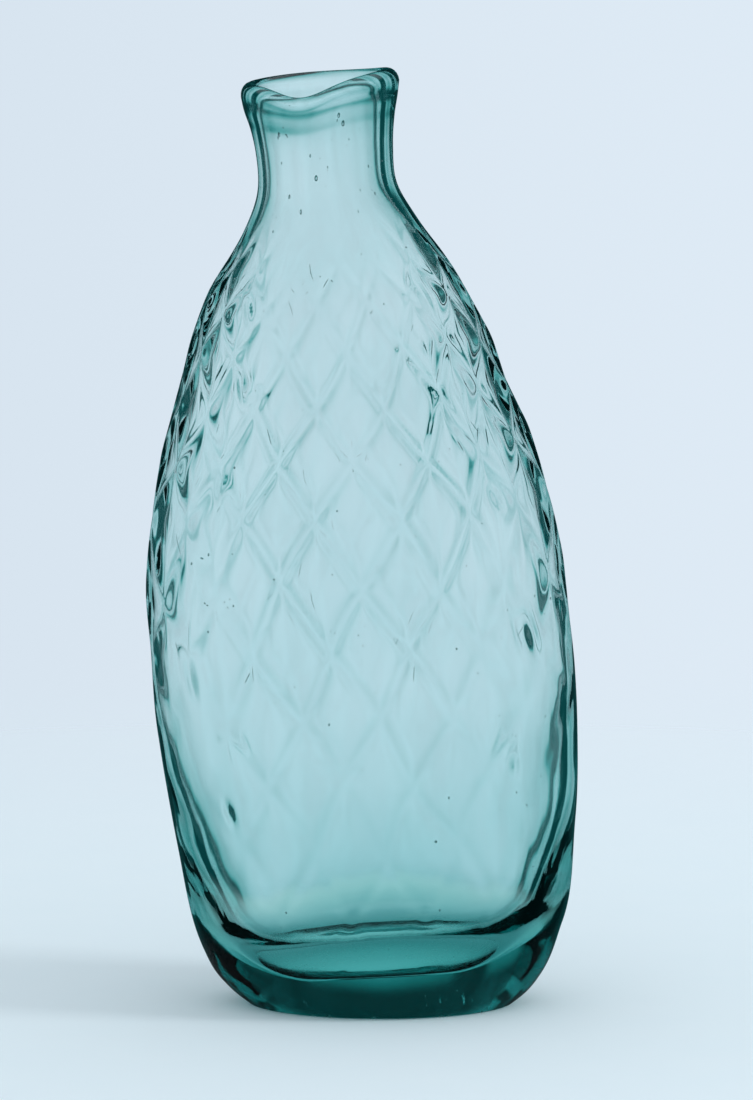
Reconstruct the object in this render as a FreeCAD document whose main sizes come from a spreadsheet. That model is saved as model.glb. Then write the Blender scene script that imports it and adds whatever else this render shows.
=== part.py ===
# Pattern-moulded glass flask, blown by the half-post method: a first gather of glass makes the neck and
# the inner wall, a second gather coats it from the collar down and carries the diamond pattern, and the
# torn ring left by the pontil iron sits in the hollow of the foot.
#
# A smooth blank is lofted first. The patterned outside, the seat between the two gathers and the cavity
# are nets of flat facets laid on the blank's skin, raised or drawn in from it. The neck is turned.
# The flask is drawn upright on its own axis with the foot slanted under it, and each piece is then leaned
# by the same placement, so that the foot comes to lie flat on the table. Sizes are in millimetres.
import FreeCAD, Part, Sketcher
import math
import os

DOC = FreeCAD.newDocument("diamond_flask")
CENTRE = FreeCAD.Vector(0, 0, 0)
UP = FreeCAD.Vector(0, 0, 1)
BACK = FreeCAD.Vector(0, 1, 0)
FRONT = FreeCAD.Vector(0, -1, 0)

# Driving dimensions: heights run along the flask's axis, widths side to side, depths front to back
SIZES = [
    ("lean", 4.3, "tilt of the flask's axis, degrees"),
    ("foot_width", 50.4, "flat of the foot"),
    ("foot_depth", 36.0, "flat of the foot"),
    ("foot_offset", -1.8, "foot centre from the axis"),
    ("heel_rise", 5.0, "turn of the heel above the foot"),
    ("heel_width", 62.0, "turn of the heel"),
    ("heel_depth", 43.5, "turn of the heel"),
    ("haunch_rise", 8.0, "end of the heel's curve above the heel"),
    ("haunch_width", 69.5, "end of the heel's curve"),
    ("haunch_depth", 48.5, "end of the heel's curve"),
    ("flank_rise", 19.0, "lower body above the haunch"),
    ("flank_width", 76.6, "lower body"),
    ("flank_depth", 52.0, "lower body"),
    ("belly_rise", 33.0, "widest level above the flank"),
    ("belly_width", 80.6, "widest level"),
    ("belly_depth", 53.5, "widest level"),
    ("chest_rise", 32.0, "upper body above the belly"),
    ("chest_width", 74.4, "upper body"),
    ("chest_depth", 50.0, "upper body"),
    ("breast_rise", 22.0, "foot of the shoulder above the chest"),
    ("breast_width", 63.0, "foot of the shoulder"),
    ("breast_depth", 44.0, "foot of the shoulder"),
    ("shoulder_rise", 19.0, "middle of the shoulder above the breast"),
    ("shoulder_width", 47.0, "middle of the shoulder"),
    ("shoulder_depth", 36.5, "middle of the shoulder"),
    ("shoulder_offset", 1.2, "shoulder centre from the axis"),
    ("root_rise", 11.5, "root of the neck above the shoulder"),
    ("root_flare_width", 3.15, "root of the neck beyond the collar, each side"),
    ("root_flare_depth", 1.15, "root of the neck beyond the collar, front and back"),
    ("collar_rise", 7.0, "top edge of the second gather above the root"),
    ("waist_rise", 6.5, "narrowest of the neck above the collar"),
    ("waist_step", 0.3, "neck drawn in from the seat at the collar"),
    ("neck_wall", 2.4, "first gather round the bore"),
    ("neck_lap", 3.0, "outside of the neck carried down inside the collar"),
    ("lip_rise", 15.6, "top of the rim above the waist"),
    ("lip_flare", 2.4, "rim beyond the waist, each side"),
    ("rim_wall", 2.7, "wall at the rim"),
    ("rim_round", 0.42, "rounding of the rim on each side, as a share of its wall"),
    ("bore_width", 20.4, "straight bore that takes the cork"),
    ("bore_length", 12.5, "straight bore that takes the cork"),
    ("bore_drop", 1.5, "bottom of the straight bore below the collar"),
    ("bore_lap", 1.0, "bore carried down into the cavity"),
    ("bore_ledge", 0.3, "cavity's top wider than the bore, each side"),
    ("coat_wall", 1.4, "second gather on the body"),
    ("coat_edge", 0.7, "second gather at its top edge"),
    ("coat_heel", 4.5, "second gather at the heel"),
    ("coat_floor", 5.0, "second gather under the first"),
    ("post_wall", 1.5, "first gather on the body"),
    ("post_floor", 2.5, "first gather at the floor"),
    ("corner_round", 6.0, "rounding between wall and floor inside"),
    ("diamonds", 16, "diamonds round the body"),
    ("diamond_rows", 6, "diamonds from heel to shoulder"),
    ("pattern_bottom", 10.5, "lowest crossing of the ridges"),
    ("pattern_drop", 12.5, "highest crossing of the ridges below the collar"),
    ("pattern_stretch", 0.2, "how much taller the low diamonds are than the mean, as a share"),
    ("ridge_height", 0.9, "ridges on the shoulder"),
    ("ridge_low", 0.45, "ridges near the heel"),
    ("kick_width", 22.0, "hollow under the foot"),
    ("kick_height", 2.5, "hollow under the foot"),
    ("scar_width", 12.0, "middle of the pontil ring"),
    ("scar_bead", 1.6, "breadth of the pontil ring"),
    ("scar_stand", 0.8, "how far the pontil ring stands out of the hollow"),
    ("overrun", 5.0, "how far a cutting shape runs past what it cuts"),
]


def make_sheet():
    """The spreadsheet of driving dimensions: name, value and note, each value under its alias."""
    sheet = DOC.addObject("Spreadsheet::Sheet", "sizes")
    for row, (alias, value, note) in enumerate(SIZES, start=1):
        sheet.set(f"A{row}", alias)
        sheet.set(f"B{row}", str(value))
        sheet.set(f"C{row}", note)
        sheet.setAlias(f"B{row}", alias)
    DOC.recompute()
    return sheet


SHEET = make_sheet()


def size(alias):
    """A driving dimension's value."""
    return float(SHEET.get(alias))


def measure(expression):
    """The value of an expression on the sheet."""
    return float(SHEET.evalExpression(expression))


# Levels of the flask from the heel up: each stands on the one below it
LEVELS = ["heel", "haunch", "flank", "belly", "chest", "breast", "shoulder", "root", "collar", "waist", "lip"]


def height_of(level):
    """Height of a level along the axis, as the sum of the rises up to it."""
    below = LEVELS[: LEVELS.index(level) + 1]
    return "(" + " + ".join(f"sizes.{name}_rise" for name in below) + ")"


# Half widths of the round neck, worked outwards from the bore
BORE = "(sizes.bore_width / 2)"
WAIST = f"({BORE} + sizes.neck_wall)"
COLLAR = f"({WAIST} + sizes.waist_step + sizes.coat_edge)"
LIP = f"({WAIST} + sizes.lip_flare)"
MOUTH = f"({LIP} - sizes.rim_wall)"


def origin_plane(body, role):
    """One of a body's own origin planes."""
    return next(feature for feature in body.Origin.OriginFeatures if feature.Role == role)


def level_sketch(body, name, height, offset="0", slant=None):
    """An empty sketch across the axis at a height, moved sideways by an offset.

    A slant is the axis and the angle that the sketch is tipped by."""
    sketch = body.newObject("Sketcher::SketchObject", name)
    sketch.AttachmentSupport = (origin_plane(body, "XY_Plane"), [""])
    sketch.MapMode = "FlatFace"
    if slant:
        axis, angle = slant
        sketch.AttachmentOffset = FreeCAD.Placement(CENTRE, FreeCAD.Rotation(axis, 1))
        sketch.setExpression("AttachmentOffset.Rotation.Angle", angle)
    sketch.setExpression("AttachmentOffset.Base.x", offset)
    sketch.setExpression("AttachmentOffset.Base.z", height)
    return sketch


def drive(sketch, label, expression, kind, *elements):
    """Add a named dimension to a sketch and bind it to the sheet."""
    value = float(sketch.evalExpression(expression))
    index = sketch.addConstraint(Sketcher.Constraint(kind, *elements, value))
    sketch.renameConstraint(index, label)
    sketch.setExpression(f"Constraints.{label}", expression)


def oval(body, name, width, depth, height, offset="0", slant=None):
    """A section of the flattened body: an ellipse, wide across X."""
    sketch = level_sketch(body, name, height, offset, slant)
    ellipse = sketch.addGeometry(Part.Ellipse(CENTRE, measure(width) / 2, measure(depth) / 2), False)
    sketch.exposeInternalGeometry(ellipse)
    major_axis = ellipse + 1
    minor_axis = ellipse + 2
    sketch.addConstraint(Sketcher.Constraint("Coincident", ellipse, 3, -1, 1))
    sketch.addConstraint(Sketcher.Constraint("Horizontal", major_axis))
    drive(sketch, "width", width, "Distance", major_axis)
    drive(sketch, "depth", depth, "Distance", minor_axis)
    return sketch


def ring(body, name, radius, height):
    """A section of the round neck: a circle."""
    sketch = level_sketch(body, name, height)
    circle = sketch.addGeometry(Part.Circle(CENTRE, UP, measure(radius)), False)
    sketch.addConstraint(Sketcher.Constraint("Coincident", circle, 3, -1, 1))
    drive(sketch, "radius", radius, "Radius", circle)
    return sketch


# Blank: the second gather's outside before the pattern, from the slanted foot to the collar. Each level has
# a width, a depth and a sideways sway
BODY_LEVELS = {
    "heel": ("sizes.heel_width", "sizes.heel_depth", "sizes.foot_offset"),
    "haunch": ("sizes.haunch_width", "sizes.haunch_depth", "sizes.foot_offset / 4"),
    "flank": ("sizes.flank_width", "sizes.flank_depth", "0"),
    "belly": ("sizes.belly_width", "sizes.belly_depth", "0"),
    "chest": ("sizes.chest_width", "sizes.chest_depth", "sizes.shoulder_offset / 2"),
    "breast": ("sizes.breast_width", "sizes.breast_depth", "sizes.shoulder_offset"),
    "shoulder": ("sizes.shoulder_width", "sizes.shoulder_depth", "sizes.shoulder_offset"),
    "root": (
        f"2 * ({COLLAR} + sizes.root_flare_width)",
        f"2 * ({COLLAR} + sizes.root_flare_depth)",
        "sizes.shoulder_offset / 2",
    ),
}


def make_blank():
    """A smooth loft through the foot, the body's levels and the collar."""
    body = DOC.addObject("PartDesign::Body", "blank")
    slant = (BACK, "sizes.lean")
    sections = [oval(body, "foot", "sizes.foot_width", "sizes.foot_depth", "0", "sizes.foot_offset", slant)]
    for level, (width, depth, sway) in BODY_LEVELS.items():
        sections.append(oval(body, level, width, depth, height_of(level), sway))
    sections.append(ring(body, "collar", COLLAR, height_of("collar")))
    form = body.newObject("PartDesign::AdditiveLoft", "blank_loft")
    form.Profile = sections[0]
    form.Sections = sections[1:]
    DOC.recompute()
    return next(face.Surface for face in body.Shape.Faces if face.Surface.TypeId != "Part::GeomPlane")


SKIN = make_blank()
TOP = 1.0


def share_at(height):
    """How far up the blank's skin a height lies, from 0 at the foot to 1 at the collar."""
    low = 0.0
    high = TOP
    for _ in range(40):
        middle = (low + high) / 2
        if SKIN.value(0.25, middle).z < height:
            low = middle
        else:
            high = middle
    return high


def ring_on_skin(share, columns, raised):
    """A ring of points round the blank, each raised off its skin, or drawn in if negative.

    The move stays level, and is longer where the skin slopes, so that it is the thickness across the wall."""
    points = []
    for column in range(columns):
        around = column / columns
        point = SKIN.value(around, share)
        out = SKIN.normal(around, share)
        if out.x * point.x + out.y * point.y < 0:
            out = out * -1
        level = FreeCAD.Vector(out.x, out.y, 0)
        points.append(point + level * (raised(column) / max(level.dot(level), 0.4)))
    return points


def net_solid(name, rings):
    """A closed solid of flat facets over a stack of rings, with a flat end at each of them.

    Each four-sided mesh is folded along the diagonal that bulges out, so that ridges stay sharp."""
    columns = len(rings[0])
    middle = [sum(line, CENTRE) * (1 / columns) for line in rings]
    facets = []
    for row in range(len(rings) - 1):
        for column in range(columns):
            ahead = (column + 1) % columns
            corners = [rings[row][column], rings[row][ahead], rings[row + 1][ahead], rings[row + 1][column]]
            core = (middle[row] + middle[row + 1]) * 0.5
            main = ((corners[0] + corners[2]) * 0.5 - core).Length
            other = ((corners[1] + corners[3]) * 0.5 - core).Length
            first = 0 if main >= other else 1
            for turn in (0, 2):
                triangle = [corners[(first + turn + step) % 4] for step in range(3)]
                facets.append(Part.Face(Part.makePolygon(triangle + triangle[:1])))
    ends = [Part.Face(Part.makePolygon(line + line[:1])) for line in (rings[0], rings[-1])]
    shell = Part.Shell(facets + ends)
    shell.sewShape()
    net = DOC.addObject("Part::Feature", name)
    net.Shape = Part.Solid(shell)
    return net


def smooth_step(value):
    """0 below 0, 1 above 1 and an even slope between."""
    value = min(max(value, 0.0), 1.0)
    return value * value * (3 - 2 * value)


def spread(start, end, count):
    """Evenly spread values from start to end, both included."""
    return [start + (end - start) * index / (count - 1) for index in range(count)]


# Levels of the lattice: its ridges cross twice in each diamond's height
CROSSINGS = 2 * round(size("diamond_rows"))


def level_height(level):
    """Height of a level of the lattice; levels lie closer together towards the shoulder."""
    top = measure(height_of("collar")) - size("pattern_drop")
    share = level / CROSSINGS
    share += size("pattern_stretch") * share * (1 - share)
    return size("pattern_bottom") + share * (top - size("pattern_bottom"))


def plain_shares():
    """Shares of the plain rings between the lattice and the collar."""
    return spread(share_at(level_height(CROSSINGS)), TOP, 4)[1:]


# Seat: the surface between the two gathers, which both pieces share. The cavity has the seat's columns and
# rows, so that the wall between them keeps its thickness
WALL_COLUMNS = 32
WALL_ROWS = 10


def wall_shares():
    """Shares of the rings from the floor between the gathers to the collar."""
    return spread(share_at(size("coat_floor")), share_at(level_height(CROSSINGS)), WALL_ROWS) + plain_shares()


def coat_thickness(height):
    """Thickness of the second gather: heavy at the heel, even on the body, thin at the collar."""
    shoulder = measure(height_of("shoulder"))
    above_floor = (height - size("coat_floor")) / measure(height_of("haunch"))
    up_shoulder = (height - shoulder) / (measure(height_of("collar")) - shoulder)
    heel = (size("coat_heel") - size("coat_wall")) * (1 - smooth_step(above_floor))
    edge = (size("coat_edge") - size("coat_wall")) * smooth_step(up_shoulder)
    return size("coat_wall") + heel + edge


def seat_rings():
    """Rings of the seat, from the floor between the gathers to the collar."""
    rings = []
    for share in wall_shares():
        wall = coat_thickness(SKIN.value(0.25, share).z)
        rings.append(ring_on_skin(share, WALL_COLUMNS, lambda column: -wall))
    return level_ends(rings)


def level_ends(rings):
    """The same rings with the lowest and the highest made level, for flat ends."""
    for line in (rings[0], rings[-1]):
        height = sum(point.z for point in line) / len(line)
        for point in line:
            point.z = height
    return rings


def stand(piece):
    """Lean a piece with the whole flask and set the foot on the table, the belly over the origin."""
    piece.Placement = FreeCAD.Placement(CENTRE, FreeCAD.Rotation(FRONT, 1))
    piece.setExpression("Placement.Rotation.Angle", "sizes.lean")
    piece.setExpression("Placement.Base.x", f"{height_of('belly')} * sin(sizes.lean * 1 deg)")
    piece.setExpression("Placement.Base.z", "-sizes.foot_offset * sin(sizes.lean * 1 deg)")


def join(kind, name, base, tool):
    """A boolean of two objects: Part::Fuse, Part::Cut or Part::Common."""
    result = DOC.addObject(kind, name)
    result.Base = base
    result.Tool = tool
    return result


# First gather: one bubble of glass with a turned neck, its rim melted round
BORE_BOTTOM = f"({height_of('collar')} - sizes.bore_drop)"
RIM_TOP = height_of("lip")
RIM_ROUND = "(sizes.rim_round * sizes.rim_wall)"
RIM_EDGE = f"({RIM_TOP} - {RIM_ROUND})"


def turned(name, corners, arcs):
    """A solid turned about the axis from half its section: corners as (across, along), bound to the sheet.

    Sides listed in arcs are round: a radius, and +1 or -1 for a centre to the left or right of the side."""
    body = DOC.addObject("PartDesign::Body", name)
    sketch = body.newObject("Sketcher::SketchObject", f"{name}_profile")
    sketch.AttachmentSupport = (origin_plane(body, "XZ_Plane"), [""])
    sketch.MapMode = "FlatFace"
    points = [FreeCAD.Vector(*map(sketch.evalExpression, corner)) for corner in corners]
    starts = {}
    for index, point in enumerate(points):
        ahead = points[(index + 1) % len(points)]
        starts[index] = 1
        if index not in arcs:
            sketch.addGeometry(Part.LineSegment(point, ahead), False)
            continue
        radius = float(sketch.evalExpression(arcs[index][0]))
        chord = ahead - point
        left = FreeCAD.Vector(-chord.y, chord.x, 0).normalize()
        centre = (point + ahead) * 0.5 + left * arcs[index][1] * math.sqrt(radius**2 - chord.Length**2 / 4)
        ends = [point, ahead] if arcs[index][1] > 0 else [ahead, point]
        angles = [math.atan2(end.y - centre.y, end.x - centre.x) for end in ends]
        sketch.addGeometry(Part.ArcOfCircle(Part.Circle(centre, UP, radius), *angles), False)
        starts[index] = 1 if arcs[index][1] > 0 else 2
    for index, (across, along) in enumerate(corners):
        ahead = (index + 1) % len(corners)
        end = 3 - starts[index]
        sketch.addConstraint(Sketcher.Constraint("Coincident", index, end, ahead, starts[ahead]))
        if across == "0":
            sketch.addConstraint(Sketcher.Constraint("PointOnObject", index, starts[index], -2))
        else:
            drive(sketch, f"across_{index}", across, "DistanceX", -1, 1, index, starts[index])
        drive(sketch, f"along_{index}", along, "DistanceY", -1, 1, index, starts[index])
    for index, (radius, _) in arcs.items():
        drive(sketch, f"radius_{index}", radius, "Radius", index)
    turning = body.newObject("PartDesign::Revolution", f"{name}_turning")
    turning.Profile = sketch
    turning.ReferenceAxis = (sketch, ["V_Axis"])
    turning.Angle = 360
    return body


def make_neck():
    """The outside of the neck: straight out of the shoulder, flared to the lip, rounded at the rim."""
    root = f"{height_of('collar')} - sizes.neck_lap"
    waist_height = height_of("waist")
    flare_up = f"({RIM_EDGE} - {waist_height})"
    flare_radius = f"(sizes.lip_flare ^ 2 + {flare_up} ^ 2) / (2 * sizes.lip_flare)"
    corners = [
        ("0", root),
        (WAIST, root),
        (WAIST, waist_height),
        (LIP, RIM_EDGE),
        (f"{LIP} - {RIM_ROUND}", RIM_TOP),
        ("0", RIM_TOP),
    ]
    return turned("neck", corners, {2: (flare_radius, -1), 3: (RIM_ROUND, 1)})


def make_bore():
    """The space in the neck: straight for the cork, flared to the mouth, rounded over the rim's edge."""
    below = f"{BORE_BOTTOM} - sizes.bore_lap"
    above = f"{RIM_TOP} + sizes.overrun"
    corners = [
        ("0", below),
        (BORE, below),
        (BORE, f"{BORE_BOTTOM} + sizes.bore_length"),
        (MOUTH, RIM_EDGE),
        (f"{MOUTH} + {RIM_ROUND}", RIM_TOP),
        (f"{MOUTH} + {RIM_ROUND}", above),
        ("0", above),
    ]
    return turned("bore", corners, {3: (RIM_ROUND, -1)})


def cavity_rings():
    """Rings of the cavity, from its floor to the neck's root, then one just wider than the bore."""
    floor = size("coat_floor") + size("post_floor")
    bottom = share_at(floor)
    top = share_at(measure(height_of("root")))
    rings = []
    for share in [bottom] + [share for share in wall_shares() if bottom < share < top]:
        height = SKIN.value(0.25, share).z
        corner = size("corner_round") * (1 - smooth_step((height - floor) / size("corner_round") / 2))
        wall = coat_thickness(height) + size("post_wall") + corner
        rings.append(ring_on_skin(share, WALL_COLUMNS, lambda column: -wall))
    radius = measure(BORE) + size("bore_ledge")
    height = measure(BORE_BOTTOM)
    edge = FreeCAD.Vector(radius, 0, height)
    turns = [FreeCAD.Rotation(UP, 360 * column / WALL_COLUMNS) for column in range(WALL_COLUMNS)]
    rings.append([turn.multVec(edge) for turn in turns])
    return level_ends(rings)


def make_post():
    """The first gather: body and neck in one, less the cavity and the bore."""
    solid = join("Part::Fuse", "post_solid", net_solid("post_net", seat_rings()), make_neck())
    blown = join("Part::Cut", "post_blown", solid, net_solid("cavity", cavity_rings()))
    post = join("Part::Cut", "inner_post", blown, make_bore())
    stand(post)
    return post


# Second gather: the diamond lattice is raised on the blank's skin; the seat and the hollow of the foot go out
STEPS = 4


def lattice(column, level):
    """Height of the lattice at a column and a level; ridges run both ways round the body and cross."""
    rising = (column / STEPS + level / 2) % 1
    falling = (column / STEPS - level / 2) % 1
    nearest = min(rising, 1 - rising, falling, 1 - falling)
    height = size("ridge_low") + (size("ridge_height") - size("ridge_low")) * level / CROSSINGS
    return height * (1 - 2 * nearest) ** 2


def coat_rings():
    """Rings of the patterned outside: plain heel, lattice, plain shoulder up to the collar."""
    columns = STEPS * round(size("diamonds"))
    plain_heel = spread(0, share_at(level_height(0)), 4)[:-1]
    rings = [ring_on_skin(share, columns, lambda column: 0) for share in plain_heel]
    for level in spread(0, CROSSINGS, STEPS * CROSSINGS // 2 + 1):
        share = share_at(level_height(level))
        rings.append(ring_on_skin(share, columns, lambda column: lattice(column, level)))
    rings += [ring_on_skin(share, columns, lambda column: 0) for share in plain_shares()]
    return rings


KICK_RADIUS = "(sizes.kick_width ^ 2 / 4 + sizes.kick_height ^ 2) / (2 * sizes.kick_height)"


def set_under_foot(piece, height):
    """Centre a piece on the slanted foot, at a height over it, square to it."""
    piece.Placement = FreeCAD.Placement(CENTRE, FreeCAD.Rotation(BACK, 1))
    piece.setExpression("Placement.Rotation.Angle", "sizes.lean")
    piece.setExpression("Placement.Base.x", f"sizes.foot_offset + ({height}) * sin(sizes.lean * 1 deg)")
    piece.setExpression("Placement.Base.z", f"({height}) * cos(sizes.lean * 1 deg)")


def make_kick(name):
    """The ball that hollows the foot."""
    ball = DOC.addObject("Part::Sphere", name)
    ball.setExpression("Radius", KICK_RADIUS)
    set_under_foot(ball, f"sizes.kick_height - {KICK_RADIUS}")
    return ball


def make_coat():
    """The second gather: patterned outside, seat of the first gather inside, hollow under the foot."""
    seat = seat_rings()
    seat.append([point + UP * size("overrun") for point in seat[-1]])
    bowl = join("Part::Cut", "coat_bowl", net_solid("coat_net", coat_rings()), net_solid("seat_net", seat))
    coat = join("Part::Cut", "diamond_half_post", bowl, make_kick("kick_up"))
    stand(coat)
    return coat


# Pontil scar: the ring of glass that stayed on the foot when the iron was cracked off
def make_scar():
    """A low ring, its upper face lying in the hollow of the foot."""
    ring_radius = "sizes.scar_width / 2"
    inner = f"{ring_radius} - sizes.scar_bead / 2"
    outer = f"{ring_radius} + sizes.scar_bead / 2"
    dome = f"(sqrt(({KICK_RADIUS}) ^ 2 - ({ring_radius}) ^ 2) - {KICK_RADIUS} + sizes.kick_height)"
    low = f"{dome} - sizes.scar_stand"
    corners = [(inner, "sizes.kick_height"), (inner, low), (outer, low), (outer, "sizes.kick_height")]
    bead = turned("scar_ring", corners, {})
    set_under_foot(bead, "0")
    scar = join("Part::Common", "pontil_scar", bead, make_kick("scar_seat"))
    stand(scar)
    return scar


PIECES = [make_post(), make_coat(), make_scar()]
DOC.recompute()

for thing in DOC.Objects:
    if "Invalid" in thing.State or "Error" in thing.State:
        raise RuntimeError(f"{thing.Label} did not build")

os.makedirs("parts", exist_ok=True)
for piece in PIECES:
    if piece.Shape.isNull() or not piece.Shape.isValid():
        raise RuntimeError(f"{piece.Label} has no sound shape")
    piece.Shape.exportStep(f"parts/{piece.Label}.step")
    print(piece.Label, round(piece.Shape.Volume), "mm3", len(piece.Shape.Faces), "faces")
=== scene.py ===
# %% [markdown]
# # A pattern-moulded glass flask
# This lesson dresses a small hand-blown flask of aqua glass: a flattened body with a diamond lattice, a
# soft heel on a heavy foot, and a short neck with a sheared, fire-polished lip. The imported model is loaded
# first as a fixed frame, in metres, and everything made here stands in that same frame.

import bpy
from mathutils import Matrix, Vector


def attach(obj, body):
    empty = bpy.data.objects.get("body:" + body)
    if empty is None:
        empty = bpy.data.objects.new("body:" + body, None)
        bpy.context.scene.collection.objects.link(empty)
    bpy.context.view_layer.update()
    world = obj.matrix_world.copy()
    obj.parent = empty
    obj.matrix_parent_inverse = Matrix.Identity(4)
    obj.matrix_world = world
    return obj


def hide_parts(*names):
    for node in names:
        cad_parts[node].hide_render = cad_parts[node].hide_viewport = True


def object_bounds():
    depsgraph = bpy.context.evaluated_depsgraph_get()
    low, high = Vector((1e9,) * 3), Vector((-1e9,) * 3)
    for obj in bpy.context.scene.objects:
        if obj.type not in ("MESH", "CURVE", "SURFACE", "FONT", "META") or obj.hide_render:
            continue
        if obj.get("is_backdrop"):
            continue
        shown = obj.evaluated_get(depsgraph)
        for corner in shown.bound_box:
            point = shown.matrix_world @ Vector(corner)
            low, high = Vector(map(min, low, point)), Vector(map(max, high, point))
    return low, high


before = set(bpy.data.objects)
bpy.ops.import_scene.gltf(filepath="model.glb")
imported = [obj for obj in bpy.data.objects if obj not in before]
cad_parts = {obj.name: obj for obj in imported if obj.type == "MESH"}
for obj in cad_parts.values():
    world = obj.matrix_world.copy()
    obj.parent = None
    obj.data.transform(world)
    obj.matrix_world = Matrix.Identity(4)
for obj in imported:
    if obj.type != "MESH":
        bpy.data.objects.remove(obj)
cad_box = [list(map(float, corner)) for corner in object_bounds()]

import math
from functools import partial

import bmesh
import bpy
import numpy as np
from mathutils import Vector

MM = 0.001
print("CAD box in mm:", [[round(value / MM, 1) for value in corner] for corner in cad_box])

# %% [markdown]
# ## The outline
# A blown flask has no straight lines, so its outside is drawn as a stack of ovals. Each row of the table
# gives one oval: the height of its middle, how far its middle stands to the right, its width and its depth,
# all in millimetres. The middles drift to the left on the way up, because the flask leans. A smooth curve
# runs through every column, so a few rows are enough to give every height in between.

# %% Ovals of the outside
OUTSIDE = np.array([
    # height, middle, width, depth
    (0.0, 3.4, 50.5, 36.0),
    (2.0, 3.5, 55.6, 39.6),
    (5.0, 3.7, 60.9, 43.0),
    (13.0, 3.8, 68.6, 48.2),
    (32.0, 2.7, 75.8, 52.0),
    (65.0, -0.1, 80.2, 53.0),
    (97.0, -2.6, 74.8, 49.6),
    (119.0, -4.1, 61.6, 43.2),
    (138.0, -5.5, 47.4, 36.0),
    (149.5, -6.2, 33.0, 29.4),
    (156.5, -7.0, 26.5, 26.4),
    (163.5, -7.4, 25.8, 25.6),
    (170.0, -7.8, 27.6, 27.4),
    (173.0, -8.0, 29.2, 29.0),
    (175.6, -8.1, 30.1, 29.9),
])


def curve_through(heights, values):
    """A smooth curve through a column of a table."""
    slopes = np.gradient(values, heights)

    def at(height):
        height = np.clip(height, heights[0], heights[-1])
        low = np.clip(np.searchsorted(heights, height) - 1, 0, len(heights) - 2)
        span = heights[low + 1] - heights[low]
        t = (height - heights[low]) / span
        start = values[low] * (1 + 2 * t) * (1 - t) ** 2 + slopes[low] * span * t * (1 - t) ** 2
        end = values[low + 1] * t * t * (3 - 2 * t) + slopes[low + 1] * span * t * t * (t - 1)
        return start + end

    return at


middle_at, width_at, depth_at = (curve_through(OUTSIDE[:, 0], OUTSIDE[:, column]) for column in (1, 2, 3))
LIP_HEIGHT = OUTSIDE[-1, 0]
print("Outside:", len(OUTSIDE), "ovals up to", LIP_HEIGHT, "mm")

# %% [markdown]
# ## Placing an oval
# The foot lies flat on the table, and above the heel every oval is tipped, its right side up, square to the
# leaning axis. The lip was cut with shears while the glass was soft, so it tips a little more, sags between
# its two sides like a saddle, stands higher in front, and has one low place there. A flat cut would be
# simpler, but the low place is what shows the mouth to a viewer at table height. One helper turns a height
# and an angle round the flask into a point, and everything else uses it.

# %% From height and angle to a point
LEAN = 4.3
HEEL_TOP = 13.0
NECK_ROOT = 152.0
WAVE_ROOT = 160.0
LIP_TIP = 1.7
LIP_SADDLE = 0.45
LIP_RISE = 1.8
LIP_DIP = 2.5
DIP_ANGLE = -1.83
DIP_SPREAD = 0.5


def rise(value, low, high):
    """0 up to low, 1 from high on, and a smooth slope between."""
    share = np.clip((value - low) / (high - low), 0.0, 1.0)
    return share * share * (3 - 2 * share)


def lip_wave(angle):
    """Height in mm of the sheared lip over a flat one: a saddle, with a low place in its raised front."""
    front = np.clip(-np.sin(angle), 0, 1) ** 2
    dip = np.exp(-2 * (1 - np.cos(angle - DIP_ANGLE)) / DIP_SPREAD ** 2)
    return LIP_SADDLE * (np.cos(2 * angle) - 1) + LIP_RISE * front - LIP_DIP * dip


def on_oval(height, angle, width, depth, middle=None, round_share=1.0):
    """Points in mm of ovals of a width and depth, tipped with the flask at that height."""
    tip = np.radians(LEAN * rise(height, 0, HEEL_TOP) + LIP_TIP * rise(height, NECK_ROOT, LIP_HEIGHT))
    wave = lip_wave(angle) * rise(height, WAVE_ROOT, LIP_HEIGHT)
    across = width / 2 * np.sign(np.cos(angle)) * np.abs(np.cos(angle)) ** round_share
    back = depth / 2 * np.sign(np.sin(angle)) * np.abs(np.sin(angle)) ** round_share
    centre = middle_at(height) if middle is None else middle
    return np.stack(np.broadcast_arrays(
        centre + across * np.cos(tip),
        back,
        height + across * np.sin(tip) + wave,
    ), axis=-1)


print("Lip: tipped", LEAN + LIP_TIP, "degrees, low place", LIP_DIP, "mm deep")

# %% [markdown]
# ## Waves of hand work
# No line on a hand-worked flask is quite straight or even. A smooth random field gives every line and wall
# its own small wander: a sum of a few waves, each with a whole number of turns, so that the field closes
# round the flask without a seam. A noise texture could do it too, but it would have to be read point by
# point. Each field has its own fixed start, so every run gives the same flask.

# %% A field of waves
def waves(count, turns, reach, seed):
    """A smooth random field over angle and height, as a sum of waves that close round the flask."""
    draw = np.random.default_rng(seed)
    around = draw.integers(-turns, turns + 1, count)
    up = draw.normal(0, 2 * math.pi / reach, count)
    start = draw.uniform(0, 2 * math.pi, count)

    def at(height, angle):
        height, angle = np.broadcast_arrays(height, angle)
        total = sum(np.cos(a * angle + u * height + s) for a, u, s in zip(around, up, start))
        return total / math.sqrt(count / 2)

    return at


wander_round = waves(10, 5, 60, 11)
wander_up = waves(10, 5, 60, 12)
ridge_strength = waves(12, 8, 40, 13)
print("Wander of a line at the belly's right side:", round(float(wander_up(65.0, 0.0)), 2), "mm")

# %% [markdown]
# ## The diamond lattice
# The second gather was pressed into a mould cut with sixteen diamonds round, then blown out a little
# further. That leaves ridges that run both ways round the body and cross, with shallow dishes between them.
# Each point's height over the skin comes from its distance to the nearest ridge of either family. The
# lattice is crisp on the shoulder, where the glass cooled first, and almost melted away near the heel. A
# bump in the material would be quicker, but only real ridges bend the light as a lens does.

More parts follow.
